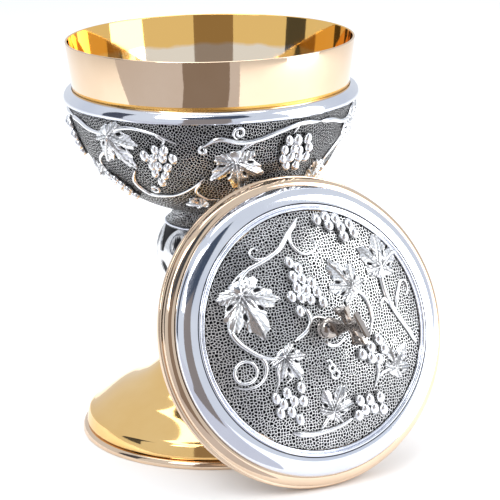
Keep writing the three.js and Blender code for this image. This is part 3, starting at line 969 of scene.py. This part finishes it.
# ---------------------------------------------------------------- stage, light and camera
def add_sheet(name, corners, colour):
    """A four-cornered sheet in metres with a plain material. Gives the sheet and its material's inputs."""
    mesh = bpy.data.meshes.new(name)
    mesh.from_pydata(corners, [], [(0, 1, 2, 3)])
    sheet = bpy.data.objects.new(name, mesh)
    bpy.context.collection.objects.link(sheet)
    material = bpy.data.materials.new(name)
    material.use_nodes = True
    inputs = material.node_tree.nodes["Principled BSDF"].inputs
    inputs["Base Color"].default_value = (*colour, 1)
    mesh.materials.append(material)
    return sheet, inputs


def make_floor():
    half = 6
    corners = [(-half, -half, 0), (half, -half, 0), (half, half, 0), (-half, half, 0)]
    floor, inputs = add_sheet("floor", corners, (0.93, 0.93, 0.93))
    inputs["Roughness"].default_value = 0.9


def add_area(name, place, target, size, power):
    """A soft rectangular light at a place, turned towards a target."""
    light = bpy.data.lights.new(name, "AREA")
    light.shape = "RECTANGLE"
    light.size, light.size_y = size
    light.energy = power
    lamp = bpy.data.objects.new(name, light)
    lamp.location = place
    lamp.rotation_euler = (Vector(target) - Vector(place)).to_track_quat("-Z", "Y").to_euler()
    bpy.context.collection.objects.link(lamp)


def add_card(name, corners, shade):
    """A card outside the picture that only shows in the metal: it is hidden from the camera and the floor."""
    card, inputs = add_sheet(name, corners, (0, 0, 0))
    card.visible_camera = False
    card.visible_diffuse = False
    card.visible_shadow = False
    inputs["Specular IOR Level"].default_value = 0
    inputs["Emission Color"].default_value = (*shade, 1)
    inputs["Emission Strength"].default_value = 1


def make_light():
    """A cool white studio with three soft lights."""
    world = bpy.data.worlds.new("studio")
    bpy.context.scene.world = world
    world.use_nodes = True
    back = world.node_tree.nodes["Background"]
    back.inputs["Color"].default_value = (0.90, 0.94, 1.0, 1)
    back.inputs["Strength"].default_value = 0.85
    bpy.context.scene.view_settings.view_transform = "Standard"
    middle = (0, -0.03, 0.11)
    add_area("key", (-0.9, -0.7, 1.2), middle, (0.9, 0.9), 12)
    add_area("fill", (1.1, -0.9, 0.6), middle, (0.9, 1.4), 15)
    add_area("top", (0.1, 0.3, 1.6), middle, (1.2, 1.2), 12)


def make_cards():
    """Dark flags that give polished metal its shadows, and a dull sheet that keeps it from burning out."""
    brown = (0.29, 0.25, 0.23)
    front = [(-0.23, -0.19, 0.002), (-0.08, -0.30, 0.002), (-0.14, -0.70, 0.002), (-0.54, -0.52, 0.002)]
    add_card("front_flag", front, brown)
    upright = [(-0.54, -0.52, 0.0), (-0.14, -0.70, 0.0), (-0.14, -0.70, 0.5), (-0.54, -0.52, 0.5)]
    add_card("front_flag_upright", upright, brown)
    left = [(-1.3, 0.1, 0.1), (-1.3, 0.6, 0.1), (-1.3, 0.6, 1.3), (-1.3, 0.1, 1.3)]
    add_card("left_flag", left, (0.08, 0.09, 0.12))
    high = [(-0.55, -1.08, 0.40), (0.10, -0.98, 0.70), (0.06, -0.70, 1.10), (-0.95, -0.44, 1.00)]
    add_card("high_flag", high, (0.07, 0.09, 0.13))
    sheet = [(-3.0, 0.8, 0.001), (-3.0, -2.5, 0.001), (-0.12, -2.5, 0.001), (-0.02, -0.12, 0.001)]
    add_card("dull_sheet", sheet, (0.70, 0.71, 0.78))


def make_camera():
    """A long lens that looks down by its pitch, from the left of the lid's face."""
    yaw, pitch, roll = radians(26.44), radians(15.36), radians(-1.09)
    eye = (-0.4315, -0.9069, 0.3655)
    forward = Vector((sin(yaw) * cos(pitch), cos(yaw) * cos(pitch), -sin(pitch)))
    level = Vector((cos(yaw), -sin(yaw), 0))
    above = level.cross(forward)
    right = level * cos(roll) + above * sin(roll)
    up = above * cos(roll) - level * sin(roll)
    camera = bpy.data.cameras.new("camera")
    camera.sensor_width = 36
    camera.lens = 151.1
    camera.clip_end = 20
    viewer = bpy.data.objects.new("camera", camera)
    turn = Matrix((right, up, -forward)).transposed()
    viewer.matrix_world = Matrix.Translation(eye) @ turn.to_4x4()
    bpy.context.collection.objects.link(viewer)
    bpy.context.scene.camera = viewer


make_cup()
make_jacket()
make_band()
make_neck()
make_knop_rings()
make_knop()
make_stem_collar()
make_foot()
make_base_plate()
make_lid_skirt()
make_lid_liner()
make_lid_silver_ring()
make_lid_bead_ring()
make_lid_dome()
make_lid_relief()
make_bowl_relief()
make_cross()
make_cross_knob()
dress_hardware()
make_floor()
make_light()
make_cards()
make_camera()
